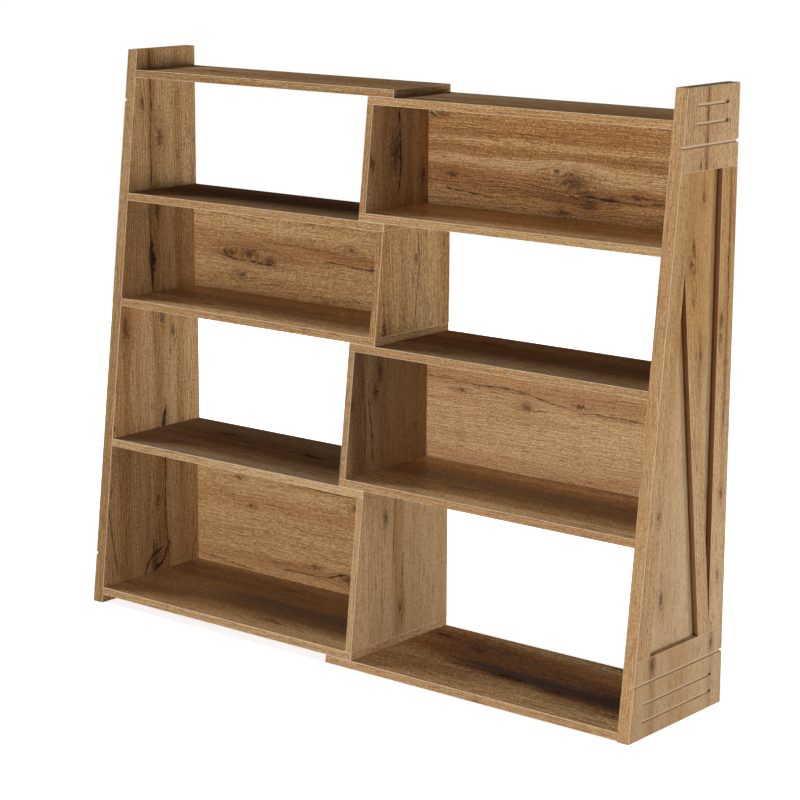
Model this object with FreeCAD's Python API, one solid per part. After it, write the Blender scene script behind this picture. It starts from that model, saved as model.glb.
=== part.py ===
import FreeCAD, Part
import math
import os

Vector = FreeCAD.Vector

# An extending bookcase: a left and a right unit whose shelves lap in the middle.
# X runs to the right, the front faces -Y, Z is up. The origin is on the floor, in the middle of the
# extended bookcase. The rear edges are upright and the front edges lean back. All sizes are in millimetres.

# Shelves and uprights
shelf_length = 716.0
shelf_thickness = 16.0
shelf_overlap = 66.0
upright_thickness = 16.0
slide_clearance = 0.3

# Depth of the bookcase, front to rear
bottom_depth = 316.0
top_depth = 176.0

# Heights, from the floor up
floor_gap = 2.0
lower_left_box_height = 313.0
lower_right_box_height = 257.0
upper_left_box_height = 211.0
upper_right_box_height = 213.0
head_height = 42.5

# Ends: an inner board with a facing of blocks, stiles and a brace outside
end_board_thickness = 15.0
facing_thickness = 12.0
block_height = 154.0
front_stile_width = 46.0
rear_stile_width = 51.0
brace_width = 38.0
brace_heel_rise = 24.0
brace_head_drop = 20.0

# Grooves across the blocks, placed from the top or bottom end
groove_width = 6.0
groove_depth = 5.0
long_groove_inset = 107.0
short_groove_insets = (33.0, 67.0)
short_groove_margin = 38.0

# Edging strips and the bevel along the arrises
edging_thickness = 1.2
edge_bevel = 0.8

# Back panels, held in grooves near the rear edges
back_thickness = 4.0
back_lip = 5.0
back_tongue = 4.5
back_groove_depth = 5.0
back_groove_clearance = 0.2

# Dowels and cam fittings between shelves and end boards
fastener_margin = 45.0
dowel_pitch = 32.0
dowel_diameter = 8.0
dowel_length = 30.0
dowel_depth_in_end = 11.0
cam_diameter = 15.0
cam_height = 12.5
cam_setback = 24.0
cam_slot_width = 1.6
cam_slot_length = 9.0
cam_slot_depth = 2.5
cam_channel_size = 7.6
bolt_thread_diameter = 6.0
bolt_thread_length = 11.0
bolt_shank_diameter = 6.0
bolt_neck_diameter = 4.0
bolt_neck_length = 4.0
bolt_head_diameter = 7.0
bolt_head_length = 4.0
bolt_bore_diameter = 8.0

# Countersunk screws between uprights and shelves
screw_head_diameter = 10.0
screw_head_height = 3.0
screw_shank_diameter = 7.0
screw_thread_diameter = 5.0
screw_thread_length = 32.0
screw_tip_length = 4.0
screw_tip_diameter = 1.0
socket_width = 4.0
socket_depth = 2.5
socket_sides = 6

# Fits
fit_clearance = 0.05
fastener_recess = 0.2
overrun = 10.0
tolerance = 0.001

# Sizes that follow from these
end_thickness = end_board_thickness + facing_thickness
extended_width = 2 * (end_thickness + shelf_length) - shelf_overlap
free_end = end_thickness + shelf_length
upright_face = free_end - upright_thickness
rear_y = bottom_depth / 2

# Undersides of the shelves, worked out from the floor up, then listed from the top down
right_5 = floor_gap
left_5 = right_5 + shelf_thickness + slide_clearance
left_4 = left_5 + shelf_thickness + lower_left_box_height
right_4 = left_4 + shelf_thickness + slide_clearance
right_3 = right_4 + shelf_thickness + lower_right_box_height
left_3 = right_3 + shelf_thickness + slide_clearance
left_2 = left_3 + shelf_thickness + upper_left_box_height
right_2 = left_2 + shelf_thickness + slide_clearance
right_1 = right_2 + shelf_thickness + upper_right_box_height
left_1 = right_1 + shelf_thickness + slide_clearance
left_shelves = (left_1, left_2, left_3, left_4, left_5)
right_shelves = (right_1, right_2, right_3, right_4, right_5)
end_height = left_1 + shelf_thickness + head_height
front_slope = (bottom_depth - top_depth) / end_height

# Each closed box: its name and the indices of the shelves above and below it
left_boxes = (("upper", 1, 2), ("lower", 3, 4))
right_boxes = (("upper", 0, 1), ("lower", 2, 3))


def front_y(z):
    """Front face of the bookcase at a height."""
    return front_slope * z - bottom_depth / 2


def core_y(z):
    """Front of the boards behind their edging."""
    return front_y(z) + edging_thickness


def place(side, inset):
    """X place at a distance in from the outer face of the unit's end. The left side is -1, the right one 1."""
    return side * (extended_width / 2 - inset)


def prism(outline, x_start, x_end):
    """Solid with an outline of (y, z) points, between two x places."""
    corners = [Vector(x_start, y, z) for y, z in outline]
    face = Part.Face(Part.makePolygon(corners + corners[:1]))
    return face.extrude(Vector(x_end - x_start, 0, 0))


def block(x_pair, y_pair, z_pair):
    """Box between two places along each axis, given in either order."""
    low = Vector(min(x_pair), min(y_pair), min(z_pair))
    high = Vector(max(x_pair), max(y_pair), max(z_pair))
    size = high - low
    return Part.makeBox(size.x, size.y, size.z, low)


def rod(diameter, length, start, direction):
    """Round bar from a start point."""
    return Part.makeCylinder(diameter / 2, length, start, direction)


def cut_all(solid, tools):
    """The solid with every tool cut out of it."""
    if not tools:
        return solid
    return solid.cut(Part.makeCompound(tools))


def bevel(solid, chosen):
    """Bevels the edges whose middle point is chosen."""
    edges = [edge for edge in solid.Edges if chosen(edge.CenterOfMass)]
    return solid.makeChamfer(edge_bevel, edges)


def same(first, second):
    """Whether two places are the same."""
    return abs(first - second) < tolerance


def band(z_low, z_high, near, far):
    """Outline between two heights, from one front-to-rear line to another."""
    return [(near(z_low), z_low), (far(z_low), z_low), (far(z_high), z_high), (near(z_high), z_high)]


def rear_line(z):
    """Rear face of the bookcase, the same at every height."""
    return rear_y


# Ends


def make_end_board(side):
    """Inner board of an end, tapering from floor to top."""
    outline = band(0, end_height, core_y, rear_line)
    return prism(outline, place(side, facing_thickness), place(side, end_thickness))


def make_facing(side, outline):
    """Piece of an end's facing, bevelled round its outer face."""
    outer_x = place(side, 0)
    solid = prism(outline, outer_x, place(side, facing_thickness))
    return bevel(solid, lambda middle: same(middle.x, outer_x))


def groove_cutter(side, z, y_pair):
    """Cutter for one groove across a block."""
    x_pair = (place(side, -overrun), place(side, groove_depth))
    return block(x_pair, y_pair, (z - groove_width / 2, z + groove_width / 2))


def long_groove_heights():
    """Middle heights of the two grooves that run right across an end."""
    return (long_groove_inset, end_height - long_groove_inset)


def long_groove(side, z):
    """Cutter for a groove that runs out at the front and the rear."""
    return groove_cutter(side, z, (front_y(0) - overrun, rear_y + overrun))


def short_groove(side, z):
    """Cutter for a groove that stops short of the front and the rear."""
    return groove_cutter(side, z, (front_y(z) + short_groove_margin, rear_y - short_groove_margin))


def make_blocks(side):
    """Bottom and top blocks with their grooves."""
    low_z, high_z = long_groove_heights()
    bottom = make_facing(side, band(0, block_height, core_y, rear_line))
    bottom_cutters = [short_groove(side, inset) for inset in short_groove_insets]
    bottom = cut_all(bottom, bottom_cutters + [long_groove(side, low_z)])
    top = make_facing(side, band(end_height - block_height, end_height, core_y, rear_line))
    top_cutters = [short_groove(side, end_height - inset) for inset in short_groove_insets]
    top = cut_all(top, top_cutters + [long_groove(side, high_z)])
    return bottom, top


def stile_back(z):
    """Rear edge of the front stile."""
    return front_y(z) + front_stile_width


def rear_stile_front(z):
    """Front edge of the rear stile."""
    return rear_y - rear_stile_width


def make_stiles(side):
    """Front and rear stiles between the two blocks."""
    heights = (block_height, end_height - block_height)
    front = make_facing(side, band(*heights, core_y, stile_back))
    rear = make_facing(side, band(*heights, rear_stile_front, rear_line))
    return front, rear


def make_brace(side):
    """Diagonal brace, from the foot of the rear stile to the head of the front stile."""
    heel_z = block_height + brace_heel_rise
    head_z = end_height - block_height - brace_head_drop
    heel_y = rear_stile_front(heel_z)
    head_y = stile_back(head_z)
    lean = (heel_y - head_y) / (head_z - heel_z)
    toe_y = heel_y + lean * brace_heel_rise - brace_width
    # The brace's front edge meets the rear edge of the front stile here
    crotch_z = (toe_y + lean * block_height - stile_back(0)) / (lean + front_slope)
    outline = [
        (toe_y, block_height),
        (heel_y, block_height),
        (heel_y, heel_z),
        (head_y, head_z),
        (stile_back(crotch_z), crotch_z),
    ]
    return make_facing(side, outline)


def make_end_edging(side):
    """Strip over the front of an end, notched by the long grooves."""
    inner_x = place(side, end_thickness)
    strip = prism(band(0, end_height, front_y, core_y), place(side, 0), inner_x)
    strip = bevel(strip, lambda middle: same(middle.y, front_y(middle.z)) and not same(middle.z, 0))
    return cut_all(strip, [long_groove(side, z) for z in long_groove_heights()])


# Shelves, uprights and backs


def make_shelf(side, z_low):
    """Shelf without its edging."""
    outline = band(z_low, z_low + shelf_thickness, core_y, rear_line)
    return prism(outline, place(side, end_thickness), place(side, free_end - edging_thickness))


def make_shelf_edging(side, z_low):
    """Strips along the front and across the free end of a shelf."""
    z_high = z_low + shelf_thickness
    end_x = place(side, end_thickness)
    free_x = place(side, free_end)
    front = prism(band(z_low, z_high, front_y, core_y), end_x, free_x)
    front = bevel(front, lambda middle: same(middle.y, front_y(middle.z)) and not same(middle.x, end_x))
    across = prism(band(z_low, z_high, core_y, rear_line), place(side, free_end - edging_thickness), free_x)
    across = bevel(across, lambda middle: same(middle.x, free_x) and not same(middle.y, core_y(middle.z)))
    return Part.makeCompound([front, across])


def make_upright(side, z_low, z_high):
    """Upright without its edging."""
    return prism(band(z_low, z_high, core_y, rear_line), place(side, upright_face), place(side, free_end))


def make_upright_edging(side, z_low, z_high):
    """Strip over the front of an upright."""
    strip = prism(band(z_low, z_high, front_y, core_y), place(side, upright_face), place(side, free_end))
    ends = (z_low, z_high)
    return bevel(
        strip,
        lambda middle: same(middle.y, front_y(middle.z)) and not any(same(middle.z, z) for z in ends),
    )


def back_box(side, z_low, z_high, reach, clearance):
    """Box of a back panel, or of the grooves round it, that reaches past the inside of its box."""
    x_pair = (place(side, end_thickness - reach), place(side, upright_face + reach))
    back_face = rear_y - back_lip
    y_pair = (back_face - back_thickness - clearance, back_face + clearance)
    return block(x_pair, y_pair, (z_low - reach, z_high + reach))


# Fasteners, each made once for the piece and once, a little larger, for its bore


def make_dowel(side, y, z, clearance):
    """Dowel between an end board and a shelf."""
    depth = dowel_depth_in_end + clearance
    start = Vector(place(side, end_thickness - depth), y, z)
    return rod(dowel_diameter + 2 * clearance, dowel_length + 2 * clearance, start, Vector(-side, 0, 0))


def make_bolt(side, y, z):
    """Cam bolt: thread in the end board, then shank, neck and head in the shelf."""
    inward = Vector(-side, 0, 0)
    shank_length = cam_setback - bolt_head_length / 2 - bolt_neck_length
    seat = Vector(place(side, end_thickness), y, z)
    thread = rod(bolt_thread_diameter, bolt_thread_length, seat - inward * bolt_thread_length, inward)
    shank = rod(bolt_shank_diameter, shank_length, seat, inward)
    neck_start = seat + inward * shank_length
    neck = rod(bolt_neck_diameter, bolt_neck_length, neck_start, inward)
    head = rod(bolt_head_diameter, bolt_head_length, neck_start + inward * bolt_neck_length, inward)
    return thread.multiFuse([shank, neck, head]).removeSplitter()


def bolt_bores(side, y, z):
    """Bores for a cam bolt: in the end board and in the shelf."""
    inward = Vector(-side, 0, 0)
    seat = Vector(place(side, end_thickness), y, z)
    depth = bolt_thread_length + fit_clearance
    in_end = rod(bolt_thread_diameter + 2 * fit_clearance, depth, seat - inward * depth, inward)
    in_shelf = rod(bolt_bore_diameter, cam_setback, seat, inward)
    return in_end, in_shelf


def cam_axis(side, y, z_low):
    """Point on a cam lock's axis at the underside of its shelf."""
    return Vector(place(side, end_thickness + cam_setback), y, z_low)


def make_cam(side, y, z_low):
    """Cam lock with a channel for the bolt's head and a cross slot in its open face."""
    up = Vector(0, 0, 1)
    foot = cam_axis(side, y, z_low) + up * fastener_recess
    body = rod(cam_diameter, cam_height, foot, up)
    middle_z = z_low + shelf_thickness / 2
    half = cam_channel_size / 2
    channel_x = (foot.x - side * half, foot.x + side * (cam_diameter / 2 + overrun))
    channel = block(channel_x, (y - half, y + half), (middle_z - half, middle_z + half))
    slot_z = (foot.z - overrun, foot.z + cam_slot_depth)
    long_pair = (-cam_slot_length / 2, cam_slot_length / 2)
    short_pair = (-cam_slot_width / 2, cam_slot_width / 2)
    slots = []
    for x_offsets, y_offsets in ((long_pair, short_pair), (short_pair, long_pair)):
        x_pair = [foot.x + offset for offset in x_offsets]
        y_pair = [y + offset for offset in y_offsets]
        slots.append(block(x_pair, y_pair, slot_z))
    return body.cut(channel).cut(slots[0]).cut(slots[1])


def cam_bore(side, y, z_low):
    """Bore for a cam lock, open at the underside of the shelf."""
    up = Vector(0, 0, 1)
    start = cam_axis(side, y, z_low) - up * overrun
    length = overrun + fastener_recess + cam_height + fit_clearance
    return rod(cam_diameter + 2 * fit_clearance, length, start, up)


def screw_body(side, y, z_face, direction, clearance):
    """Screw from a shelf's face into an upright, or its bore when it has clearance. Direction is 1 for up."""
    axis = Vector(0, 0, direction)
    middle_x = place(side, upright_face + upright_thickness / 2)
    recess = fastener_recess - clearance
    top = Vector(middle_x, y, z_face) + axis * recess
    head_radius = screw_head_diameter / 2 + clearance
    shank_radius = screw_shank_diameter / 2 + clearance
    thread_radius = screw_thread_diameter / 2 + clearance
    tip_radius = screw_tip_diameter / 2 + clearance
    shank_end = Vector(middle_x, y, z_face) + axis * shelf_thickness
    shank_length = (shank_end - top).Length - screw_head_height
    thread_length = screw_thread_length + clearance
    head = Part.makeCone(head_radius, shank_radius, screw_head_height, top, axis)
    shank = Part.makeCylinder(shank_radius, shank_length, top + axis * screw_head_height, axis)
    thread = Part.makeCylinder(thread_radius, thread_length, shank_end, axis)
    tip = Part.makeCone(thread_radius, tip_radius, screw_tip_length, shank_end + axis * thread_length, axis)
    return head.multiFuse([shank, thread, tip]).removeSplitter()


def make_screw(side, y, z_face, direction):
    """Countersunk screw with a six-sided socket."""
    screw = screw_body(side, y, z_face, direction, 0)
    axis = Vector(0, 0, direction)
    middle = Vector(place(side, upright_face + upright_thickness / 2), y, z_face)
    corner_radius = socket_width / 2 / math.cos(math.pi / socket_sides)
    corners = []
    for index in range(socket_sides):
        angle = 2 * math.pi * index / socket_sides
        spoke = Vector(math.cos(angle), math.sin(angle), 0)
        corners.append(middle + spoke * corner_radius)
    face = Part.Face(Part.makePolygon(corners + corners[:1]))
    return screw.cut(face.extrude(axis * (fastener_recess + socket_depth)))


def screw_bore(side, y, z_face, direction):
    """Stepped bore for a screw, open at the shelf's face."""
    bore = screw_body(side, y, z_face, direction, fit_clearance)
    mouth_height = fastener_recess + overrun
    start = Vector(place(side, upright_face + upright_thickness / 2), y, z_face)
    start = start - Vector(0, 0, direction) * overrun
    mouth = rod(screw_head_diameter + 2 * fit_clearance, mouth_height, start, Vector(0, 0, direction))
    return bore.fuse(mouth)


def fastener_rows(z):
    """Places across the depth, at a height, of the outer fasteners of a joint."""
    return (front_y(z) + fastener_margin, rear_y - fastener_margin)


# Units


def fit_shelf_to_end(side, z_low):
    """Fasteners of one shelf at its end board, and the bores that they need in both boards."""
    z = z_low + shelf_thickness / 2
    front, rear = fastener_rows(z)
    made = {"dowels": [], "cam_bolts": [], "cam_locks": [], "end_bores": [], "shelf_bores": []}
    for y in (front + dowel_pitch, rear - dowel_pitch):
        made["dowels"].append(make_dowel(side, y, z, 0))
        bore = make_dowel(side, y, z, fit_clearance)
        made["end_bores"].append(bore)
        made["shelf_bores"].append(bore)
    for y in (front, rear):
        in_end, in_shelf = bolt_bores(side, y, z)
        made["cam_bolts"].append(make_bolt(side, y, z))
        made["cam_locks"].append(make_cam(side, y, z_low))
        made["end_bores"].append(in_end)
        made["shelf_bores"] += [in_shelf, cam_bore(side, y, z_low)]
    return made


def fit_upright(side, z_upper, z_lower):
    """Screws of one upright and their bores, for the shelf above and the shelf below it."""
    upper_face = z_upper + shelf_thickness
    upper_rows = fastener_rows(z_upper)
    lower_rows = fastener_rows(z_lower + shelf_thickness)
    screws = [make_screw(side, y, upper_face, -1) for y in upper_rows]
    screws += [make_screw(side, y, z_lower, 1) for y in lower_rows]
    upper_bores = [screw_bore(side, y, upper_face, -1) for y in upper_rows]
    lower_bores = [screw_bore(side, y, z_lower, 1) for y in lower_rows]
    return screws, upper_bores, lower_bores


def make_unit(name, side, shelf_places, boxes):
    """All nodes of one unit, by name."""
    nodes = {}
    end_cutters = []
    shelf_cutters = [[] for z_low in shelf_places]
    groups = {"dowels": [], "cam_bolts": [], "cam_locks": [], "upright_screws": []}

    for index, z_low in enumerate(shelf_places):
        made = fit_shelf_to_end(side, z_low)
        for kind in ("dowels", "cam_bolts", "cam_locks"):
            groups[kind] += made[kind]
        end_cutters += made["end_bores"]
        shelf_cutters[index] += made["shelf_bores"]

    for box_name, above, below in boxes:
        z_low = shelf_places[below] + shelf_thickness
        z_high = shelf_places[above]
        screws, upper_bores, lower_bores = fit_upright(side, shelf_places[above], shelf_places[below])
        back_groove = back_box(side, z_low, z_high, back_groove_depth, back_groove_clearance)
        groups["upright_screws"] += screws
        end_cutters.append(back_groove)
        shelf_cutters[above] += upper_bores + [back_groove]
        shelf_cutters[below] += lower_bores + [back_groove]
        upright = make_upright(side, z_low, z_high)
        nodes[f"{name}_{box_name}_upright"] = cut_all(upright, upper_bores + lower_bores + [back_groove])
        nodes[f"{name}_{box_name}_upright_edging"] = make_upright_edging(side, z_low, z_high)
        nodes[f"{name}_{box_name}_back"] = back_box(side, z_low, z_high, back_tongue, 0)

    for index, z_low in enumerate(shelf_places):
        shelf_name = f"{name}_shelf_{index + 1}"
        nodes[shelf_name] = cut_all(make_shelf(side, z_low), shelf_cutters[index])
        nodes[f"{shelf_name}_edging"] = make_shelf_edging(side, z_low)

    nodes[f"{name}_end_board"] = cut_all(make_end_board(side), end_cutters)
    nodes[f"{name}_bottom_block"], nodes[f"{name}_top_block"] = make_blocks(side)
    nodes[f"{name}_front_stile"], nodes[f"{name}_rear_stile"] = make_stiles(side)
    nodes[f"{name}_brace"] = make_brace(side)
    nodes[f"{name}_end_edging"] = make_end_edging(side)
    for kind, solids in groups.items():
        nodes[f"{name}_{kind}"] = Part.makeCompound(solids)
    return nodes


def main():
    """Makes both units and writes one file for each node."""
    os.makedirs("parts", exist_ok=True)
    nodes = make_unit("left", -1, left_shelves, left_boxes)
    nodes.update(make_unit("right", 1, right_shelves, right_boxes))
    for name, shape in nodes.items():
        shape.exportStep(f"parts/{name}.step")
    print(len(nodes), "nodes")


main()
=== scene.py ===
import math
import random

import bpy
from mathutils import Euler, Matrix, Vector


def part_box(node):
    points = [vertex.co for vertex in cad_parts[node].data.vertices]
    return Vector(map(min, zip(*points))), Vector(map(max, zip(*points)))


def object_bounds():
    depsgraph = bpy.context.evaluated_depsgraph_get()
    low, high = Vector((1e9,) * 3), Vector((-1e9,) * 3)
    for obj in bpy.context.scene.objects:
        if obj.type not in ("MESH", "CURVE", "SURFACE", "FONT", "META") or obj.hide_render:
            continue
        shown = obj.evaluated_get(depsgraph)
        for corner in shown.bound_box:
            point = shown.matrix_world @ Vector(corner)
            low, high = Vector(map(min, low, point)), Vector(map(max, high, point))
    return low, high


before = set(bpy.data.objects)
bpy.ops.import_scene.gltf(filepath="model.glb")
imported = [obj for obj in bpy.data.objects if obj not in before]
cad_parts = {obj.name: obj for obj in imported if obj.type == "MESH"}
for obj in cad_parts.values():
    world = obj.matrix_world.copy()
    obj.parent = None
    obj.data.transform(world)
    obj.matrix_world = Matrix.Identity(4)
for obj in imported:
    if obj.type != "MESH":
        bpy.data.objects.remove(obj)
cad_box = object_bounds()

# The scene dresses an extending oak bookcase: two units whose shelves lap in the middle.
# X runs to the right, the front faces -Y, Z is up. All sizes are in metres and all angles in degrees.

box_low, box_high = cad_box
box_size = box_high - box_low
box_middle = (box_low + box_high) / 2
x_axis, y_axis, z_axis = range(3)
white = (1.0, 1.0, 1.0, 1.0)

# Camera: where it stands round the object, and how far away as a share of the object's width
camera_azimuth = 39.24
camera_elevation = 12.34
camera_roll = 0.22
camera_distance_share = 3.46831
camera_lens_mm = 109.5
camera_sensor_mm = 36.0
level_tilt = 90.0

# The point in the object's box that the camera looks at
aim_shares = (0.5206, 0.513, 0.4418)

# Lights: name, azimuth, elevation, distance and size as shares of the object's width, and level.
# At level 1 a white surface that faces the light renders white.
lights = (
    ("front_light", 8.0, 2.0, 3.0, 1.0, 0.67),
    ("right_light", 91.0, 4.0, 3.0, 1.0, 0.28),
    ("right_rear_light", 132.0, -2.0, 2.8, 0.9, 0.50),
    ("left_rear_light", 225.0, -4.5, 3.0, 0.5, 0.34),
    ("left_top_light", 276.0, 46.0, 3.0, 0.7, 0.42),
)

# Light from the sky, and the shares of the way up between which it grows
sky_level = 0.17
sky_shares = (0.25, 0.95)

# Floor: width as a share of the object's width, and how much light it reflects
floor_share = 42.2535
floor_shade = 0.86

# How much the floor is lifted towards white where it is seen, beside the object and away from it,
# and how far the change reaches as a share of the object's width
shadow_lift = 0.76
floor_lift = 0.93
shadow_reach_share = 0.3169

# Curve between a screen colour and the linear colour that the shaders use
screen_white = 255
curve_start = 0.04045
curve_slope = 12.92
curve_offset = 0.055
curve_power = 2.4

# Oak shades as they look on screen, from the darkest streaks to the palest
oak_stops = (
    (0.00, (66, 60, 58)),
    (0.12, (126, 85, 52)),
    (0.36, (162, 116, 72)),
    (0.55, (184, 142, 93)),
    (0.72, (206, 170, 121)),
    (0.88, (220, 186, 140)),
)
pale_shade = (190, 168, 140)
red_shade = (156, 105, 61)
streak_shade = (106, 68, 40)
pore_shade = (98, 64, 42)
halo_shade = (112, 76, 50)
knot_shade = (66, 48, 41)
crack_shade = (50, 41, 40)
# Painted shade for the inside corners
painted_corner_shade = (40, 28, 20)
# Painted highlight on the bevels of the facings
arris_highlight_shade = (204, 180, 150)
# Pale edges of the edging strips, with a painted highlight
strip_edge_and_highlight_shade = (226, 206, 180)
upright_edge_and_highlight_shade = (208, 180, 148)
groove_shade = (196, 172, 142)
groove_end_shade = (84, 62, 48)
side_shade = (162, 106, 68)
# Multiplied on to make the upper part of an end warmer and darker
upper_warmth_shade = (239, 225, 198)

# How light, how pale and how strongly figured each kind of board is, found by part of its name.
# The first that fits counts.
board_looks = (
    ("right_lower_back", 1.07, 0.25, 0.90),
    ("left_lower_back", 1.02, 0.10, 0.75),
    ("left_upper_back", 0.98, 0.00, 0.85),
    ("right_lower_upright", 0.92, 0.30, 0.80),
    ("lower_upright", 1.00, 0.38, 0.68),
    ("left_upper_upright", 0.94, 0.00, 0.90),
    ("upper_upright", 0.94, 0.10, 0.90),
    ("left_end_edging", 0.89, 0.10, 0.80),
    ("left_shelf_1_edging", 0.90, 0.04, 0.80),
    ("right_shelf_1_edging", 1.01, 0.10, 0.80),
    ("left_shelf_3_edging", 0.93, 0.10, 0.80),
    ("shelf_5_edging", 1.00, 0.30, 0.80),
    ("shelf_4_edging", 0.97, 0.25, 0.80),
    ("end_edging", 1.03, 0.25, 0.75),
    ("edging", 0.97, 0.15, 0.80),
    ("right_shelf_2", 1.22, 0.15, 1.15),
    ("right_shelf_4", 1.11, 0.14, 1.15),
    ("left_shelf_3", 1.17, 0.16, 1.15),
    # Shelves in the open bays: their darker, paler tops stand for the shade there, as painted shade
    ("right_shelf_3", 0.82, 0.45, 1.10),
    ("left_shelf_2", 0.74, 0.50, 1.10),
    ("left_shelf_4", 0.80, 0.45, 1.10),
    ("left_shelf_5", 1.00, 0.12, 1.30),
    ("right_shelf_5", 1.02, 0.12, 1.30),
    ("shelf", 1.00, 0.30, 1.15),
    ("right_end_board", 1.00, 0.62, 0.60),
    ("end_board", 0.99, 0.10, 0.95),
    ("bottom_block", 0.96, 0.55, 0.62),
    ("top_block", 0.98, 0.40, 0.90),
    ("rear_stile", 0.98, 0.50, 0.85),
    ("stile", 0.98, 0.38, 0.85),
    ("brace", 0.97, 0.40, 0.85),
    ("", 0.99, 0.00, 1.00),
)

# Noises of the oak: waves per metre along the grain, across it and into the board, then detail and roughness
noise_middle = 0.5
drift_noise = ((1.2, 3.0, 3.0), 0.0, 0.5)
ripple_noise = ((7.0, 12.0, 6.0), 0.0, 0.5)
wiggle_noise = ((34.0, 60.0, 20.0), 0.0, 0.5)
broad_noise = ((0.9, 12.0, 4.0), 1.0, 0.5)
red_noise = ((1.1, 19.0, 5.0), 0.0, 0.5)
medium_noise = ((1.5, 44.0, 10.0), 2.0, 0.45)
streak_noise = ((24.0, 300.0, 20.0), 1.0, 0.6)
vein_noise = ((3.2, 62.0, 10.0), 1.0, 0.5)
fibre_noise = ((15.0, 300.0, 60.0), 0.0, 0.5)
speck_noise = ((180.0, 460.0, 120.0), 0.0, 0.5)
pore_noise = ((150.0, 560.0, 90.0), 0.0, 0.5)
rough_noise = ((110.0, 400.0, 60.0), 4.0, 0.75)
emboss_noise = ((50.0, 620.0, 620.0), 1.0, 0.5)

# How far the grain wanders sideways, and how its rings, fibres and strips lie across it
drift_reach = 0.036
ripple_reach = 0.008
wiggle_reach = 0.003
ring_waves = 95.0
ring_bend = 7.0
fibre_shift = 0.0017
plank_width = 0.098

# Step through the noises from one board to the next
board_step = Vector((1.37, 0.83, 0.61))

# The oak's middle tone, and how much each layer of the figure changes it
tone_middle = 0.55
ring_amount = 0.024
plain_broad_amount = 0.60
banded_broad_amount = 0.36
medium_amount = 0.30
fibre_amount = 0.50
speck_amount = 0.70
streak_amount = 0.16
plank_amount = 0.09

# Noise levels between which red patches, dashes, veins and pores begin to show
red_levels = (0.48, 0.75)
dash_levels = (0.59, 0.68)
vein_levels = (0.006, 0.026)
vein_medium_levels = (0.40, 0.56)
pore_levels = (0.56, 0.68)

# How strongly each layer is laid over the oak
red_share = 0.34
dash_share = 0.60
vein_share = 0.34
pore_share = 0.40
halo_share = 0.28
knot_share = 0.68
crack_share = 0.90

# Knots: length of core and halo as shares of their width, fade of both in radii, how far they push the
# grain aside, and how ragged the core is
knot_stretch = 2.4
halo_stretch = 2.6
knot_fade = (0.25, 1.00)
halo_fade = (0.3, 3.2)
knot_bend_share = 0.75
rough_reach = 4.0

# Cracks and bands wander about a straight path
wander_waves = 7.0
wander_detail = 4.0
wander_reach = 0.016

# Cracks: how their width varies, where on the path they begin and end, and their fade in half widths
crack_width_waves = 45.0
crack_width_detail = 2.0
crack_width_gain = 3.6
crack_width_loss = -0.65
crack_least_width = 0.01
crack_start_shares = (0.0, 0.1)
crack_end_shares = (0.85, 1.0)
crack_fade = (0.4, 1.2)
crack_shadow_fade = (0.0, 9.0)
crack_shadow_share = 0.6
crack_seed_step = 10.0

# Bands: where on the path they begin and end, and their fade in half widths
band_start_shares = (0.0, 0.25)
band_end_shares = (0.75, 1.0)
band_fade = (0.35, 1.35)
band_seed_step = 20.0

# Ranges of the marks of a board that isn't in the tables below
mark_counts = (1, 1, 2)
mark_start_shares = (-0.2, 0.6)
mark_across_shares = (0.1, 0.9)
mark_length_shares = (0.2, 0.5)
mark_half_widths = (0.0006, 0.0012)
mark_radii = (0.005, 0.010)
mark_turn_shares = (-0.06, 0.06)
knot_along_shares = (0.2, 0.8)
knot_across_shares = (-0.05, 0.05)

# Specular level and roughness of the boards, and of the shelves under the closed boxes, which mirror
# the backs; pores are rougher
board_gloss = (0.0, 0.60)
boxed_gloss = (0.08, 0.30)
boxed_shelves = ("right_shelf_2", "right_shelf_4", "left_shelf_3", "left_shelf_5")
pore_roughness = 0.14

# How much a face has to look along an axis before it counts as facing it
strip_face_levels = (0.88, 0.93)
side_face_levels = (0.90, 0.96)
arris_face_levels = (0.86, 0.90)
groove_face_levels = (0.8, 0.9)
side_share = 0.8

# Shares of the object's height between which the wood of an end grows warmer
upper_warmth_shares = (0.30, 0.72)
front_stile_warmth_share = 0.5
outer_half_blur = 0.001

# Painted shade in inside corners: how far it reaches, at which openness, and how much on boards and facings
painted_corner_reach = 0.007
painted_corner_levels = (0.42, 0.92)
painted_corner_samples = 8
board_painted_corner_share = 0.60
facing_painted_corner_share = 0.88

# Grooves: depths below the face where their floor begins and ends, and how far inside the block's rim
# their walls begin
groove_floor_from = (0.0015, 0.003)
groove_floor_to = (0.006, 0.009)
groove_rim = (0.003, 0.0015)

# Strength and depth of the bumps
oak_bump = (0.4, 0.0006)
metal_bump = (0.3, 0.0002)
beech_bump = (0.3, 0.0003)

# Metal fasteners: name of the metal, screen shade, roughness and noise of the scratches
plated_noise = ((400.0, 400.0, 400.0), 2.0, 0.5)
cast_noise = ((900.0, 900.0, 900.0), 2.0, 0.5)
metal_fasteners = {
    "cam_bolts": ("zinc_plated_steel", (196, 196, 190), 0.22, plated_noise),
    "upright_screws": ("yellow_zinc_steel", (206, 184, 128), 0.22, plated_noise),
    "cam_locks": ("cast_zinc", (168, 170, 172), 0.38, cast_noise),
}
scratch_roughness = 0.3

# Beech of the dowels
beech_noise = ((60.0, 900.0, 900.0), 2.0, 0.5)
beech_stops = (
    (0.3, (178, 140, 102)),
    (0.7, (216, 184, 146)),
)
beech_roughness = 0.55
fleck_roughness = 0.2

# Order of the object's axes along the grain, across it and into the board
flat_along_x = (x_axis, y_axis, z_axis)
upright_along_x = (x_axis, z_axis, y_axis)
side_along_z = (z_axis, y_axis, x_axis)
front_along_z = (z_axis, x_axis, y_axis)

# Places of the share and the two colours among the inputs of a colour mix, and of its result among outputs
mix_inputs = (0, 6, 7)
mix_output = 2

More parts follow.
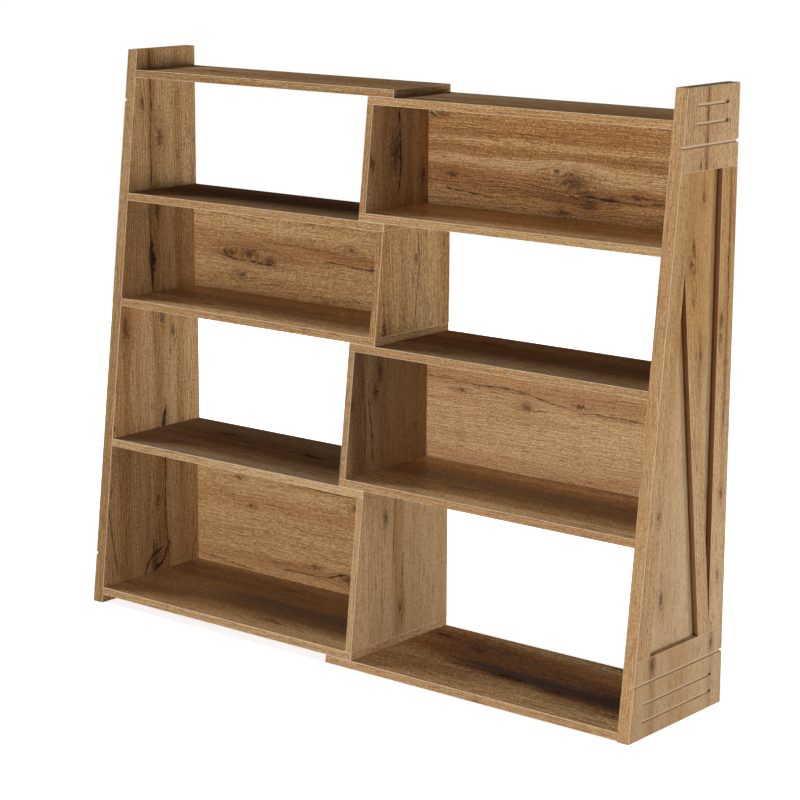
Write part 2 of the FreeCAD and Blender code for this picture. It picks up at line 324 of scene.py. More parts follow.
# Cracks: shares of the board along and across where each starts and ends, and its half width
board_cracks = {
    "right_upper_back": (
        (0.06, 0.18, 0.26, 0.13, 0.0011),
        (0.50, 0.31, 0.60, 0.23, 0.0010),
        (0.54, 0.25, 0.85, 0.22, 0.0012),
        (-0.02, 0.85, 0.05, 0.85, 0.0008),
    ),
    "right_lower_back": (
        (-0.02, 0.66, 0.11, 0.69, 0.0007),
        (0.10, 0.66, 0.34, 0.66, 0.0010),
        (0.30, 0.66, 0.56, 0.58, 0.0008),
        (0.53, 0.58, 0.82, 0.58, 0.0007),
    ),
    "left_upper_back": (
        (0.30, 0.56, 0.62, 0.53, 0.0006),
        (0.54, 0.44, 0.80, 0.43, 0.0010),
        (0.12, 0.41, 0.36, 0.36, 0.0013),
    ),
    "left_lower_back": (
        (0.44, 0.70, 0.72, 0.69, 0.0009),
        (0.36, 0.08, 0.67, 0.12, 0.0010),
        (0.01, 0.06, 0.26, 0.03, 0.0007),
    ),
    "left_end_board": (
        (1.02, 0.56, 0.54, 0.555, 0.0017),
        (0.66, 0.555, 0.56, 0.555, 0.0026),
        (0.63, 0.55, 0.43, 0.57, 0.0010),
        (0.36, 0.66, 0.00, 0.62, 0.0017),
        (0.085, 0.66, 0.005, 0.47, 0.0030),
        (0.075, 0.58, 0.015, 0.42, 0.0022),
        (0.18, 0.07, 0.04, 0.16, 0.0012),
        (0.37, 0.10, 0.31, 0.16, 0.0014),
    ),
    "left_upper_upright": ((1.02, 0.57, -0.02, 0.53, 0.0009),),
    "left_lower_upright": (
        (1.00, 0.45, 0.48, 0.42, 0.0009),
        (0.58, 0.53, 0.02, 0.50, 0.0007),
    ),
    "right_upper_upright": ((0.98, 0.50, 0.10, 0.47, 0.0014),),
    "right_lower_upright": (
        (0.78, 0.30, 0.02, 0.32, 0.0014),
        (0.95, 0.20, 0.02, 0.23, 0.0010),
    ),
    "right_shelf_5": ((0.28, 0.41, 0.92, 0.42, 0.0014),),
    "left_shelf_4": ((0.14, 0.61, 0.74, 0.57, 0.0014),),
    "left_shelf_5": ((0.01, 0.64, 0.38, 0.64, 0.0010),),
    "right_top_block": ((1.05, 0.44, -0.10, 0.44, 0.0010),),
    "right_rear_stile": ((1.02, 0.62, 0.40, 0.55, 0.0010),),
}

# Bands: shares of the board along and across where each starts and ends, its half width and how dark it is
board_bands_and_painted_light = {
    "right_upper_back": (
        (-0.40, 0.56, 1.40, 0.53, 0.013, 0.24),
        (-0.40, 0.36, 0.70, 0.22, 0.024, 0.26),
        (0.30, 0.25, 1.40, 0.20, 0.015, 0.22),
        (-0.40, 0.46, 0.80, 0.42, 0.009, -0.16),
        (0.40, 0.40, 1.40, 0.36, 0.012, -0.16),
        (-0.40, 0.10, 0.60, 0.05, 0.012, -0.12),
        (-0.20, 0.73, 0.90, 0.69, 0.007, 0.12),
    ),
    "right_lower_back": (
        (-0.30, 0.12, 0.90, 0.03, 0.014, 0.12),
        (-0.30, 0.56, 0.70, 0.42, 0.010, 0.10),
        (0.30, 0.78, 1.30, 0.72, 0.012, -0.08),
    ),
    "left_upper_back": (
        (-0.02, 0.46, 0.60, 0.34, 0.018, 0.08),
        (0.20, 0.56, 1.40, 0.40, 0.010, 0.10),
        (-0.20, 0.20, 0.60, 0.15, 0.010, 0.08),
    ),
    "left_lower_back": (
        (0.20, 0.72, 1.30, 0.66, 0.012, 0.10),
        (0.10, 0.10, 1.30, 0.12, 0.014, 0.12),
    ),
    "left_end_board": (
        (1.30, 0.56, -0.30, 0.60, 0.016, 0.16),
        (0.70, 0.30, -0.30, 0.24, 0.012, 0.12),
        (1.20, 0.84, 0.10, 0.80, 0.014, 0.12),
    ),
    "left_lower_upright": ((1.30, 0.47, -0.30, 0.50, 0.018, 0.20),),
    "right_lower_upright": (
        (1.30, 0.14, -0.30, 0.16, 0.026, 0.34),
        (1.30, 0.40, -0.30, 0.42, 0.008, 0.14),
    ),
    # Shelf tops: the wide dark bands are part figure, part painted shade, and the pale bands are painted
    # light
    "right_shelf_5": (
        (-0.10, 0.84, 1.60, 0.18, 0.078, 0.53),
        (0.10, 0.46, 1.50, 0.36, 0.020, 0.30),
        (0.55, 0.10, 1.70, 0.08, 0.024, -0.12),
        (-0.60, 0.50, 0.50, 0.40, 0.040, -0.10),
    ),
    "right_shelf_4": (
        (-0.50, 0.60, 1.50, 0.52, 0.060, 0.40),
        (-0.50, 0.10, 1.50, 0.08, 0.022, -0.16),
    ),
    "right_shelf_3": (
        (-0.50, 0.60, 1.50, 0.50, 0.060, 0.44),
        (-0.50, 0.10, 1.50, 0.08, 0.020, -0.12),
    ),
    "right_shelf_2": ((-0.50, 0.12, 1.50, 0.10, 0.022, -0.14),),
    "left_shelf_5": (
        (0.15, 0.46, 1.50, 0.38, 0.054, 0.48),
        (-0.50, 0.78, 0.90, 0.72, 0.040, 0.24),
        (0.15, 0.10, 1.60, 0.08, 0.026, -0.14),
    ),
    "left_shelf_4": (
        (-0.10, 0.62, 1.50, 0.50, 0.058, 0.48),
        (-0.50, 0.10, 1.50, 0.08, 0.022, -0.14),
    ),
    "left_shelf_3": (
        (-0.30, 0.60, 1.50, 0.52, 0.048, 0.28),
        (-0.50, 0.10, 1.50, 0.08, 0.022, -0.14),
    ),
    "left_shelf_2": (
        (-0.30, 0.56, 1.50, 0.50, 0.058, 0.48),
        (-0.50, 0.10, 1.50, 0.08, 0.018, -0.10),
    ),
    "right_top_block": ((1.80, 0.43, -0.80, 0.45, 0.009, 0.30),),
    "right_bottom_block": (
        (1.90, 0.22, -0.90, 0.24, 0.010, 0.26),
        (1.90, 0.87, -0.90, 0.87, 0.008, 0.22),
    ),
    "right_rear_stile": ((1.30, 0.62, 0.20, 0.55, 0.007, 0.30),),
}

# Knots: shares of the board along and across, and the radius
board_knots = {
    "right_upper_back": (
        (0.52, 0.35, 0.019),
        (0.555, 0.25, 0.010),
        (0.645, 0.225, 0.007),
        (0.73, 0.26, 0.007),
        (0.575, 0.15, 0.010),
        (0.48, 0.06, 0.009),
        (0.095, 0.31, 0.007),
        (0.05, 0.86, 0.008),
        (0.46, 0.43, 0.005),
    ),
    "right_lower_back": (
        (0.135, 0.60, 0.006),
        (0.37, 0.545, 0.008),
        (0.555, 0.62, 0.006),
    ),
    "left_upper_back": (
        (0.165, 0.41, 0.009),
        (0.24, 0.42, 0.012),
        (0.325, 0.37, 0.011),
        (0.655, 0.58, 0.006),
        (0.755, 0.435, 0.007),
        (0.21, 0.20, 0.008),
    ),
    "left_lower_back": (
        (0.675, 0.625, 0.010),
        (0.19, 0.67, 0.005),
        (0.24, 0.485, 0.005),
        (0.51, 0.15, 0.007),
        (0.645, 0.11, 0.011),
    ),
    "left_end_board": (
        (0.905, 0.48, 0.008),
        (0.84, 0.64, 0.011),
        (0.71, 0.60, 0.010),
        (0.62, 0.56, 0.009),
        (0.50, 0.28, 0.014),
        (0.51, 0.63, 0.010),
        (0.48, 0.74, 0.009),
        (0.395, 0.17, 0.007),
        (0.32, 0.65, 0.008),
        (0.05, 0.54, 0.018),
        (0.165, 0.565, 0.006),
    ),
    "left_upper_upright": (
        (0.69, 0.545, 0.006),
        (0.05, 0.12, 0.012),
    ),
    "left_lower_upright": (
        (0.83, 0.345, 0.010),
        (0.19, 0.50, 0.007),
    ),
    "right_upper_upright": (
        (0.54, 0.45, 0.019),
        (0.28, 0.88, 0.008),
        (0.45, 0.11, 0.008),
    ),
    "right_lower_upright": (
        (0.79, 0.40, 0.011),
        (0.64, 0.35, 0.011),
        (0.57, 0.08, 0.007),
    ),
    "right_end_board": (
        (0.21, 0.36, 0.009),
        (0.58, 0.71, 0.009),
        (0.83, 0.70, 0.007),
    ),
    "right_front_stile": ((0.30, 0.42, 0.005),),
    "right_rear_stile": (
        (0.68, 0.18, 0.009),
        (0.64, 0.20, 0.006),
        (0.30, 0.56, 0.006),
        (0.12, 0.49, 0.005),
    ),
    "right_brace": (
        (0.86, 0.24, 0.010),
        (0.83, 0.17, 0.008),
        (0.75, 0.26, 0.004),
        (0.69, 0.59, 0.006),
        (0.64, 0.56, 0.005),
        (0.59, 0.54, 0.009),
        (0.98, 0.61, 0.006),
    ),
    "right_bottom_block": (
        (0.90, 0.22, 0.007),
        (0.85, 0.87, 0.005),
    ),
    "right_top_block": ((0.08, 0.34, 0.005),),
    "left_shelf_5": (
        (0.62, 0.19, 0.010),
        (0.47, 0.79, 0.007),
    ),
    "left_shelf_4": (
        (0.23, 0.70, 0.010),
        (0.62, 0.57, 0.009),
    ),
    "right_shelf_5": (
        (0.52, 0.42, 0.010),
        (0.69, 0.37, 0.010),
        (0.31, 0.70, 0.012),
        (0.135, 0.82, 0.009),
    ),
}


def linear(shade):
    """A screen colour as the linear colour that the shaders use."""
    channels = []
    for value in shade:
        level = value / screen_white
        if level > curve_start:
            channels.append(((level + curve_offset) / (1 + curve_offset)) ** curve_power)
        else:
            channels.append(level / curve_slope)
    return (*channels, 1.0)


class Nodes:
    """The node tree of a material or the world, with short calls for the nodes that repeat."""

    def __init__(self, owner):
        owner.use_nodes = True
        self.tree = owner.node_tree

    def put(self, socket, value):
        """Links an output to a socket, or sets the socket's own value."""
        if isinstance(value, bpy.types.NodeSocket):
            self.tree.links.new(value, socket)
        else:
            socket.default_value = value

    def add(self, kind, sockets=None, **settings):
        """A node with its settings and what goes into its sockets."""
        node = self.tree.nodes.new(kind)
        for key, value in settings.items():
            setattr(node, key, value)
        for socket, value in (sockets or {}).items():
            self.put(node.inputs[socket], value)
        return node

    def math(self, operation, *values):
        """One sum on numbers."""
        return self.add("ShaderNodeMath", dict(enumerate(values)), operation=operation).outputs[0]

    def chain(self, operation, *values):
        """The same sum on several numbers, one after another."""
        result = values[0]
        for value in values[1:]:
            result = self.math(operation, result, value)
        return result

    def total(self, *values):
        """Several numbers added up."""
        return self.chain("ADD", *values)

    def product(self, *values):
        """Several numbers multiplied."""
        return self.chain("MULTIPLY", *values)

    def largest(self, *values):
        """The largest of several numbers."""
        return self.chain("MAXIMUM", *values)

    def vector(self, operation, *values):
        """One sum on vectors."""
        return self.add("ShaderNodeVectorMath", dict(enumerate(values)), operation=operation).outputs[0]

    def length(self, vector):
        """The length of a vector."""
        return self.add("ShaderNodeVectorMath", {0: vector}, operation="LENGTH").outputs["Value"]

    def combine(self, *values):
        """A vector from its three numbers."""
        return self.add("ShaderNodeCombineXYZ", dict(enumerate(values))).outputs[0]

    def split(self, vector):
        """The three numbers of a vector."""
        return self.add("ShaderNodeSeparateXYZ", {0: vector}).outputs

    def coordinates(self, kind):
        """Texture coordinates of one kind."""
        return self.add("ShaderNodeTexCoord").outputs[kind]

    def noise(self, place, waves, detail, roughness):
        """A cloudy number about the middle of 0 and 1."""
        sockets = {"Vector": self.vector("MULTIPLY", place, waves), "Scale": 1.0}
        sockets.update({"Detail": detail, "Roughness": roughness})
        return self.add("ShaderNodeTexNoise", sockets).outputs[0]

    def path_noise(self, along, waves, seed, detail):
        """A cloudy number that changes along one line only."""
        sockets = {"W": self.math("MULTIPLY_ADD", along, waves, seed), "Scale": 1.0, "Detail": detail}
        return self.add("ShaderNodeTexNoise", sockets, noise_dimensions="1D").outputs[0]

    def centred(self, value, reach):
        """A cloudy number taken about 0 and spread over a reach."""
        return self.product(self.math("SUBTRACT", value, noise_middle), reach)

    def step(self, value, low, high):
        """Rises smoothly from 0 at low to 1 at high."""
        sockets = {"Value": value, "From Min": low, "From Max": high}
        return self.add("ShaderNodeMapRange", sockets, interpolation_type="SMOOTHSTEP").outputs[0]

    def fall(self, value, low, high):
        """Falls smoothly from 1 at low to 0 at high."""
        return self.math("SUBTRACT", 1.0, self.step(value, low, high))

    def blend(self, share, first, second, kind):
        """A colour with a share of another mixed in or multiplied on."""
        sockets = dict(zip(mix_inputs, (share, first, second)))
        return self.add("ShaderNodeMix", sockets, data_type="RGBA", blend_type=kind).outputs[mix_output]

    def shades(self, value, stops):
        """A colour from a row of stops."""
        node = self.add("ShaderNodeValToRGB", {0: value})
        elements = node.color_ramp.elements
        while len(elements) < len(stops):
            elements.new(1.0)
        for element, (position, shade) in zip(elements, stops):
            element.position = position
            element.color = linear(shade)
        return node.outputs[0]


class Surface(Nodes):
    """A new material with its shader and the colour that it shows."""

    def __init__(self, name):
        self.material = bpy.data.materials.new(name)
        super().__init__(self.material)
        self.shader = self.tree.nodes["Principled BSDF"]
        self.colour = white

    def set(self, socket, value):
        """Sets or links a socket of the shader."""
        self.put(self.shader.inputs[socket], value)

    def show(self, colour):
        """Gives the shader its colour."""
        self.colour = colour
        self.set("Base Color", colour)

    def tint(self, share, shade, kind="MIX"):
        """Lays a shade over the colour."""
        self.show(self.blend(share, self.colour, linear(shade), kind))

    def emboss(self, height, strength, depth):
        """Gives the shader bumps."""
        bump = self.add("ShaderNodeBump", {"Strength": strength, "Distance": depth, "Height": height})
        self.set("Normal", bump.outputs[0])


class Board:
    """A board's grain and look: the axes it follows, where it starts, how large it is and how it leans."""

    def __init__(self, node_name, layout, lean=0.0):
        low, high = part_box(node_name)
        into = layout[2]
        self.name = node_name
        self.layout = layout
        self.lean = lean
        self.start = Vector(low[axis] for axis in layout)
        self.size = Vector(high[axis] - low[axis] for axis in layout)
        # Face whose figure is carried round the edges: a back's front, a shelf's top or a side's right
        self.face = low[into] if layout == upright_along_x else high[into]
        look = next(look for look in board_looks if look[0] in node_name)
        self.lightness, self.pale_share, self.figure_share = look[1:]

    def place(self, along_share, across_share):
        """Place at shares of the board along and across the grain."""
        along = self.start.x + self.size.x * along_share
        return along, self.start.y + self.size.y * across_share - self.lean * along

    def stops(self):
        """Oak shades of this board."""
        mixed = []
        for position, shade in oak_stops:
            paler = [value + (pale - value) * self.pale_share for value, pale in zip(shade, pale_shade)]
            mixed.append((position, [value * self.lightness for value in paler]))
        return mixed


def board_place(nodes, board):
    """Place on the board: along the grain, across it and into the board."""
    parts = nodes.split(nodes.coordinates("Object"))
    along, across, into = [parts[axis] for axis in board.layout]
    if board.lean:
        across = nodes.math("MULTIPLY_ADD", along, -board.lean, across)
    return nodes.combine(along, across, into)


def moved_across(nodes, place, shift):
    """The place moved across the grain."""
    return nodes.vector("ADD", place, nodes.combine(0.0, shift, 0.0))


def knot(nodes, place, rough, board, mark):
    """How dark a knot is, how far its halo reaches, and how much it pushes the grain aside."""
    along_share, across_share, radius = mark
    offset = nodes.vector("SUBTRACT", place, (*board.place(along_share, across_share), 0.0))
    near = nodes.vector("MULTIPLY", offset, (1 / (radius * knot_stretch), 1 / radius, 0.0))
    wide = nodes.vector("MULTIPLY", near, (knot_stretch / halo_stretch, 1.0, 0.0))
    core = nodes.fall(nodes.total(nodes.length(near), rough), *knot_fade)
    halo = nodes.fall(nodes.length(wide), *halo_fade)
    push = nodes.product(nodes.split(offset)[1], nodes.product(halo, -knot_bend_share))
    return core, halo, push


def from_path(nodes, place, board, path, seed):
    """Share of the way along a path, and the distance from it in half widths."""
    along_from, across_from, along_to, across_to, half_width = path
    start_along, start_across = board.place(along_from, across_from)
    end_along, end_across = board.place(along_to, across_to)
    along, across = nodes.split(place)[:2]
    share = nodes.math("DIVIDE", nodes.math("SUBTRACT", along, start_along), end_along - start_along)
    middle = nodes.math("MULTIPLY_ADD", share, end_across - start_across, start_across)
    wander = nodes.centred(nodes.path_noise(along, wander_waves, seed, wander_detail), wander_reach)
    distance = nodes.math("SUBTRACT", across, nodes.total(middle, wander))
    return share, nodes.math("DIVIDE", nodes.math("ABSOLUTE", distance), half_width)


def path_window(nodes, share, start_shares, end_shares):
    """1 along a path, and 0 before its start and after its end."""
    return nodes.product(nodes.step(share, *start_shares), nodes.fall(share, *end_shares))


def crack(nodes, place, board, mark, seed):
    """How dark a crack is, and its soft shadow."""
    share, distance = from_path(nodes, place, board, mark, seed)
    swell = nodes.path_noise(nodes.split(place)[0], crack_width_waves, seed, crack_width_detail)
    width = nodes.math("MULTIPLY_ADD", swell, crack_width_gain, crack_width_loss)
    width = nodes.largest(width, crack_least_width)
    window = path_window(nodes, share, crack_start_shares, crack_end_shares)
    line = nodes.fall(nodes.math("DIVIDE", distance, width), *crack_fade)
    soft = nodes.fall(distance, *crack_shadow_fade)
    return nodes.product(line, window), nodes.product(soft, window)


def band(nodes, place, board, mark, seed):
    """How much darker a band is; on the shelf tops bands also stand for painted shade, and pale ones for
    painted light.
    """
    *path, darkness = mark
    share, distance = from_path(nodes, place, board, path, seed)
    window = path_window(nodes, share, band_start_shares, band_end_shares)
    return nodes.product(nodes.fall(distance, *band_fade), nodes.product(window, darkness))


def random_marks(seed):
    """A few cracks and knots for a board that has none of its own."""
    draw = random.Random(seed)
    cracks = []
    knots = []
    for _ in range(draw.choice(mark_counts)):
        start = draw.uniform(*mark_start_shares)
        across = draw.uniform(*mark_across_shares)
        reach = draw.uniform(*mark_length_shares)
        half_width = draw.uniform(*mark_half_widths)
        radius = draw.uniform(*mark_radii)
        cracks.append((start, across, start + reach, across + draw.uniform(*mark_turn_shares), half_width))
        along = start + reach * draw.uniform(*knot_along_shares)
        knots.append((along, across + draw.uniform(*knot_across_shares), radius))
    return cracks, knots


def marks_of(board, seed):
    """The cracks and knots of a board; an edging has none."""
    if "edging" in board.name:
        return (), ()
    if board.name in board_cracks or board.name in board_knots:
        return board_cracks.get(board.name, ()), board_knots.get(board.name, ())
    return random_marks(seed)


def mark_layers(nodes, place, board, seed):
    """Cracks, knots, their shadows and bands on a board, and its place with the grain bent round knots."""
    cracks, knots = marks_of(board, seed)
    line = 0.0
    core = 0.0
    soft = 0.0
    bands_and_painted_light_tone = 0.0
    bent = place
    rough = nodes.centred(nodes.noise(place, *rough_noise), rough_reach)
    for mark in knots:
        dark, halo, push = knot(nodes, place, rough, board, mark)
        core = nodes.largest(dark, core)
        soft = nodes.largest(halo, soft)
        bent = moved_across(nodes, bent, push)
    for number, mark in enumerate(cracks):
        dark, shadow = crack(nodes, bent, board, mark, seed * crack_seed_step + number)
        line = nodes.largest(dark, line)
        soft = nodes.largest(nodes.product(shadow, crack_shadow_share), soft)
    for number, mark in enumerate(board_bands_and_painted_light.get(board.name, ())):
        bands_and_painted_light_tone = nodes.total(band(nodes, bent, board, mark, seed * band_seed_step + number), bands_and_painted_light_tone)
    return line, core, soft, bands_and_painted_light_tone, bent


def grain_place(nodes, board, place, bent, seed):
    """The place in the board's own wood, where the grain wanders sideways, and how far it drifts."""
    wood = nodes.vector("ADD", bent, board_step * seed)
    if "edging" not in board.name:
        wood = moved_across(nodes, wood, nodes.math("SUBTRACT", nodes.split(place)[2], board.face))
    drift = nodes.noise(wood, *drift_noise)
    shift = nodes.total(
        nodes.centred(drift, drift_reach),
        nodes.centred(nodes.noise(wood, *ripple_noise), ripple_reach),
        nodes.centred(nodes.noise(wood, *wiggle_noise), wiggle_reach),
    )
    return moved_across(nodes, wood, shift), drift


def rings(nodes, wood, drift):
    """Growth rings across the grain, from -1 to 1."""
    turns = nodes.math("MULTIPLY_ADD", nodes.split(wood)[1], ring_waves, nodes.product(drift, ring_bend))
    return nodes.math("SINE", nodes.product(turns, math.tau))


def fibres(nodes, wood):
    """Fine fibres with a light and a dark side, about 0."""
    beside = moved_across(nodes, wood, fibre_shift)
    return nodes.math("SUBTRACT", nodes.noise(wood, *fibre_noise), nodes.noise(beside, *fibre_noise))


def planks(nodes, wood):
    """One number from 0 to 1 for each strip of the board."""
    strip = nodes.math("FLOOR", nodes.math("DIVIDE", nodes.split(wood)[1], plank_width))
    return nodes.add("ShaderNodeTexWhiteNoise", {"W": strip}, noise_dimensions="1D").outputs["Value"]


def veins(nodes, wood, medium):
    """Thin dark lines in the darker stretches of the figure."""
    from_vein = nodes.math("SUBTRACT", nodes.noise(wood, *vein_noise), noise_middle)
    line = nodes.fall(nodes.math("ABSOLUTE", from_vein), *vein_levels)
    return nodes.product(line, nodes.fall(medium, *vein_medium_levels))


def oak_tone(nodes, board, wood, drift, streak, medium):
    """How light the oak's figure is."""
    figure = nodes.total(
        nodes.product(rings(nodes, wood, drift), ring_amount),
        nodes.centred(
            nodes.noise(wood, *broad_noise),
            banded_broad_amount if board.name in board_bands_and_painted_light else plain_broad_amount,
        ),
        nodes.centred(medium, medium_amount),
        nodes.product(fibres(nodes, wood), fibre_amount),
        nodes.centred(nodes.noise(wood, *speck_noise), speck_amount),
        nodes.centred(streak, streak_amount),
        nodes.centred(planks(nodes, wood), plank_amount),
    )
    return nodes.math("MULTIPLY_ADD", figure, board.figure_share, tone_middle)


def oak(board, seed):
    """Rustic oak laminate with its figure, pores, knots and cracks."""
    nodes = Surface(board.name)
    place = board_place(nodes, board)
    line, core, soft, bands_and_painted_light_tone, bent = mark_layers(nodes, place, board, seed)
    wood, drift = grain_place(nodes, board, place, bent, seed)
    streak = nodes.noise(wood, *streak_noise)
    medium = nodes.noise(wood, *medium_noise)
    red = nodes.step(nodes.noise(wood, *red_noise), *red_levels)
    dash = nodes.step(streak, *dash_levels)
    pore = nodes.step(nodes.noise(wood, *pore_noise), *pore_levels)
    tone = nodes.math("SUBTRACT", oak_tone(nodes, board, wood, drift, streak, medium), bands_and_painted_light_tone)
    nodes.show(nodes.shades(tone, board.stops()))
    for share, strength, shade in (
        (red, red_share * board.figure_share, red_shade),
        (dash, dash_share * board.figure_share, streak_shade),
        (veins(nodes, wood, medium), vein_share * board.figure_share, streak_shade),
        (pore, pore_share * board.figure_share, pore_shade),
        (soft, halo_share, halo_shade),
        (core, knot_share, knot_shade),
        (line, crack_share, crack_shade),
    ):
        # A share of zero stands for marks that this board doesn't have
        if share != 0.0:
            nodes.tint(nodes.product(share, strength), shade)

    gloss, roughness = boxed_gloss if board.name in boxed_shelves else board_gloss
    nodes.set("Specular IOR Level", gloss)
    nodes.set("Roughness", nodes.math("MULTIPLY_ADD", pore, pore_roughness, roughness))
    nodes.emboss(nodes.noise(place, *emboss_noise), *oak_bump)
    return nodes


def face_sizes(nodes):
    """How much a face looks along each axis, from 0 to 1."""
    return nodes.split(nodes.vector("ABSOLUTE", nodes.coordinates("Normal")))


def outer_half(nodes, node_name):
    """1 on the outer half of an upright board, and 0 on the inner half."""
    low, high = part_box(node_name)
    middle = abs(low.x + high.x) / 2
    from_centre = nodes.math("ABSOLUTE", nodes.split(nodes.coordinates("Object"))[x_axis])
    return nodes.step(from_centre, middle, middle + outer_half_blur)


def tint_strip_edges_and_highlights(nodes, shown_axes, shade):
    """Pale edges and a painted highlight on an edging strip, on every face but those that look along the
    shown axes.
    """
    faces = face_sizes(nodes)
    shown = nodes.largest(*[faces[axis] for axis in shown_axes])
    nodes.tint(nodes.fall(shown, *strip_face_levels), shade)


def tint_upper(nodes, node_name):
    """Warmer wood on the upper part of an end's outside."""
    height = nodes.split(nodes.coordinates("Object"))[z_axis]
    low, high = [box_low.z + box_size.z * share for share in upper_warmth_shares]
    share = nodes.product(nodes.step(height, low, high), outer_half(nodes, node_name))
    if "front_stile" in node_name:
        share = nodes.product(share, front_stile_warmth_share)
    nodes.tint(share, upper_warmth_shade, "MULTIPLY")


def tint_grooves(nodes, node_name):
    """Bare grooves across a block, dark where they stop."""
    low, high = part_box(node_name)
    faces = face_sizes(nodes)
    parts = nodes.split(nodes.coordinates("Object"))
    outer = max(abs(low.x), abs(high.x))
    depth = nodes.math("SUBTRACT", outer, nodes.math("ABSOLUTE", parts[x_axis]))
    floor = nodes.product(nodes.step(depth, *groove_floor_from), nodes.fall(depth, *groove_floor_to))
    floor = nodes.product(floor, nodes.step(faces[x_axis], *groove_face_levels))
    inner = []
    for axis in (y_axis, z_axis):
        middle = (low[axis] + high[axis]) / 2
        from_middle = nodes.math("ABSOLUTE", nodes.math("SUBTRACT", parts[axis], middle))
        within = nodes.fall(from_middle, *[high[axis] - middle - rim for rim in groove_rim])
        inner.append(nodes.product(within, nodes.step(faces[axis], *groove_face_levels)))
    end, wall = inner
    nodes.tint(nodes.largest(floor, wall), groove_shade)
    nodes.tint(end, groove_end_shade)


def tint_sides_and_arris_highlights(nodes):
    """Warm sides and pale bevels round a facing; the pale bevels are a painted highlight."""
    faces = face_sizes(nodes)
    nodes.tint(nodes.product(nodes.step(faces[y_axis], *side_face_levels), side_share), side_shade)
    nodes.tint(nodes.fall(nodes.largest(*faces), *arris_face_levels), arris_highlight_shade)


def paint_corner_shade(nodes, node_name):
    """Painted shade in the inside corners between an end board and its facings."""
    openness = nodes.add("ShaderNodeAmbientOcclusion", {"Distance": painted_corner_reach}, samples=painted_corner_samples)
    share = nodes.fall(openness.outputs["AO"], *painted_corner_levels)
    if "end_board" in node_name:
        share = nodes.product(share, nodes.product(outer_half(nodes, node_name), board_painted_corner_share))
    else:
        share = nodes.product(share, facing_painted_corner_share)
    nodes.tint(share, painted_corner_shade)


def metal(name, shade, roughness, scratches):
    """Plated or cast metal with fine marks."""
    nodes = Surface(name)
    marks = nodes.noise(nodes.coordinates("Object"), *scratches)
    nodes.set("Metallic", 1.0)
    nodes.show(linear(shade))
    nodes.set("Roughness", nodes.math("MULTIPLY_ADD", marks, scratch_roughness, roughness))
    nodes.emboss(marks, *metal_bump)
    return nodes.material


def beech():
    """Turned beech of the dowels."""
    nodes = Surface("beech")
    fleck = nodes.noise(nodes.coordinates("Object"), *beech_noise)
    nodes.show(nodes.shades(fleck, beech_stops))
    nodes.set("Roughness", nodes.math("MULTIPLY_ADD", fleck, fleck_roughness, beech_roughness))
    nodes.emboss(fleck, *beech_bump)
    return nodes.material


def dress(node_name, material):
    """Gives a CAD node its material."""
    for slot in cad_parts[node_name].material_slots:
        slot.material = material


def dress_fasteners():
    """Dowels, bolts, cams and screws."""
    materials = {"dowels": beech()}
    for name, look in metal_fasteners.items():
        materials[name] = metal(*look)
    for side in ("left_", "right_"):
        for name, material in materials.items():
            dress(side + name, material)


def board_of(node_name, front_lean):
    """A board with the grain of its kind."""
    if "shelf" in node_name and "edging" not in node_name:
        return Board(node_name, flat_along_x)
    if "shelf" in node_name or "back" in node_name:
        return Board(node_name, upright_along_x)
    if "edging" in node_name:
        return Board(node_name, front_along_z)
    if "front_stile" in node_name:
        return Board(node_name, side_along_z, front_lean)
    if "brace" in node_name:
        return Board(node_name, side_along_z, -front_lean)
    return Board(node_name, side_along_z)


def board_oak(board, seed):
    """The oak of one board, with the tints of its kind."""
    nodes = oak(board, seed)
    name = board.name
    block = "block" in name
    bar = "stile" in name or "brace" in name
    # Pale edges with a painted highlight on the edging strips
    if "shelf" in name and "edging" in name:
        tint_strip_edges_and_highlights(nodes, (x_axis, y_axis), strip_edge_and_highlight_shade)
    elif "edging" in name:
        tint_strip_edges_and_highlights(nodes, (y_axis,), upright_edge_and_highlight_shade)
    if bar or "right_end_board" in name:
        tint_upper(nodes, name)
    if block:
        tint_grooves(nodes, name)
    # Warm sides, and a painted highlight on the bevels
    if block or bar:
        tint_sides_and_arris_highlights(nodes)
    # Painted shade in the inside corners of the ends
    if bar or "end_board" in name:
        paint_corner_shade(nodes, name)
    return nodes.material


def dress_boards():
    """One oak for every board; the blocks and stiles of an end share their figure through the seams."""
    edging_low, edging_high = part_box("right_end_edging")
    front_lean = (edging_high.y - edging_low.y) / (edging_high.z - edging_low.z)
    fasteners = ("dowels", *metal_fasteners)
    for seed, node_name in enumerate(sorted(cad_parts)):
        if node_name.endswith(fasteners):
            continue
        if "block" in node_name or "stile" in node_name:
            seed = len(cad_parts) + node_name.startswith("left")
        dress(node_name, board_oak(board_of(node_name, front_lean), seed))


def direction(azimuth, elevation):
    """Unit vector from the object towards an azimuth and elevation."""
    turn = math.radians(azimuth)
    rise = math.radians(elevation)
    return Vector((math.sin(turn) * math.cos(rise), -math.cos(turn) * math.cos(rise), math.sin(rise)))


def make_camera():
    """Camera at the photograph's viewing angle."""
    data = bpy.data.cameras.new("camera")
    data.lens = camera_lens_mm
    data.sensor_width = camera_sensor_mm
    camera = bpy.data.objects.new("camera", data)
    aim = box_low + Vector(size * share for size, share in zip(box_size, aim_shares))
    distance = box_size.x * camera_distance_share
    camera.location = aim + direction(camera_azimuth, camera_elevation) * distance
    tilt = math.radians(level_tilt - camera_elevation)
    look = Euler((tilt, 0.0, math.radians(camera_azimuth))).to_quaternion()
    roll = Euler((0.0, 0.0, math.radians(camera_roll))).to_quaternion()
    camera.rotation_mode = "QUATERNION"
    camera.rotation_quaternion = look @ roll
    bpy.context.scene.collection.objects.link(camera)
    bpy.context.scene.camera = camera


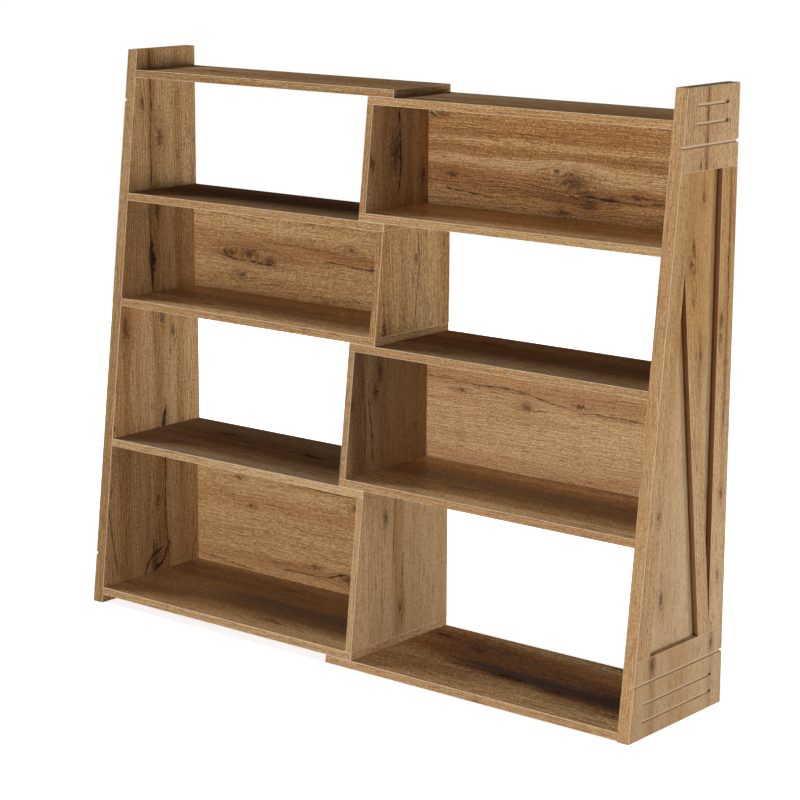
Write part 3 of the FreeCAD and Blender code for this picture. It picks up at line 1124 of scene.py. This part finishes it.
def make_lights():
    """Soft area lights round the object."""
    for name, azimuth, elevation, distance_share, size_share, level in lights:
        distance = box_size.x * distance_share
        data = bpy.data.lights.new(name, "AREA")
        data.shape = "DISK"
        data.size = box_size.x * size_share
        data.energy = level * math.pi ** 2 * distance ** 2
        light = bpy.data.objects.new(name, data)
        towards = direction(azimuth, elevation)
        light.location = box_middle + towards * distance
        light.rotation_mode = "QUATERNION"
        light.rotation_quaternion = towards.to_track_quat("Z", "Y")
        bpy.context.scene.collection.objects.link(light)


def seen_directly(nodes):
    """1 for rays that show the background: from the camera, a gloss or through glass."""
    path = nodes.add("ShaderNodeLightPath")
    rays = ("Is Camera Ray", "Is Glossy Ray", "Is Transmission Ray")
    return nodes.largest(*[path.outputs[ray] for ray in rays])


def make_world():
    """White where it is seen, and a soft light from above on the object."""
    world = bpy.data.worlds.new("studio")
    nodes = Nodes(world)
    height = nodes.split(nodes.coordinates("Generated"))[z_axis]
    sky = nodes.product(nodes.step(height, *sky_shares), sky_level)
    background = nodes.tree.nodes["Background"]
    nodes.put(background.inputs["Color"], white)
    nodes.put(background.inputs["Strength"], nodes.largest(sky, seen_directly(nodes)))
    bpy.context.scene.world = world


def floor_material():
    """Pale and matt, lifted towards white where it is seen, and less so beside the object."""
    nodes = Surface("floor")
    nodes.show((floor_shade, floor_shade, floor_shade, 1.0))
    nodes.set("Roughness", 1.0)
    nodes.set("Specular IOR Level", 0.0)
    nodes.set("Emission Color", white)
    parts = nodes.split(nodes.coordinates("Object"))
    outside = 0.0
    for axis in (x_axis, y_axis):
        from_middle = nodes.math("ABSOLUTE", nodes.math("SUBTRACT", parts[axis], box_middle[axis]))
        outside = nodes.largest(nodes.math("SUBTRACT", from_middle, box_size[axis] / 2), outside)
    away = nodes.step(outside, 0.0, box_size.x * shadow_reach_share)
    lift = nodes.math("MULTIPLY_ADD", away, floor_lift - shadow_lift, shadow_lift)
    nodes.set("Emission Strength", nodes.product(seen_directly(nodes), lift))
    return nodes.material


def make_floor():
    """Floor under the object."""
    half = box_size.x * floor_share / 2
    corners = [(x, y, box_low.z) for x, y in ((-half, -half), (half, -half), (half, half), (-half, half))]
    mesh = bpy.data.meshes.new("floor")
    mesh.from_pydata(corners, [], [(0, 1, 2, 3)])
    mesh.materials.append(floor_material())
    floor = bpy.data.objects.new("floor", mesh)
    bpy.context.scene.collection.objects.link(floor)


bpy.context.scene.view_settings.view_transform = "Standard"
dress_boards()
dress_fasteners()
make_floor()
make_world()
make_lights()
make_camera()
